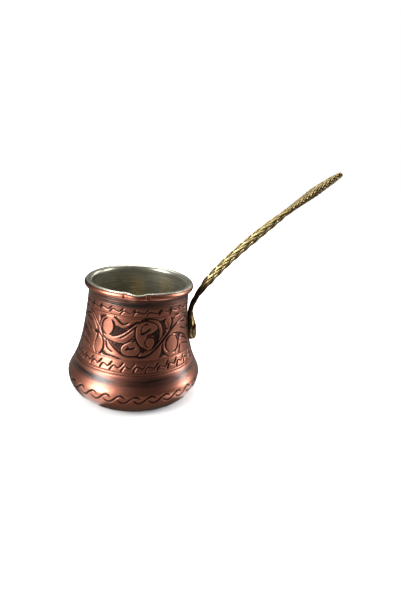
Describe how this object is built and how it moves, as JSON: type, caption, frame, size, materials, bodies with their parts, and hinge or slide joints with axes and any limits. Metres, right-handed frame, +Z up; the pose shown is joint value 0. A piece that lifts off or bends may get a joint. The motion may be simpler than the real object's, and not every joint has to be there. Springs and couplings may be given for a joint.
{
  "type": "turkish coffee pot",
  "caption": "Bellied copper coffee pot with a narrow neck, beaded rim, side pouring lip and a long riveted brass handle, tinned inside.",
  "frame": {"origin": "centre of the flat base, on the surface that the pot stands on", "axes": "+Z up along the pot's axis, +X along the handle, -Y towards the pouring lip"},
  "size_m": [0.1573, 0.0822, 0.1443],
  "materials": {
    "copper": "spun copper, engraved and antiqued dark in the cuts",
    "tin": "wiped tin, dull",
    "cast_brass": "cast, antiqued",
    "copper_rivet": "hammered, darkened"
  },
  "bodies": {
    "root": {"body": "copper", "tin_lining": "tin", "handle": "cast_brass", "rivet_lip_side": "copper_rivet", "rivet_far_side": "copper_rivet"}
  },
  "joints": []
}
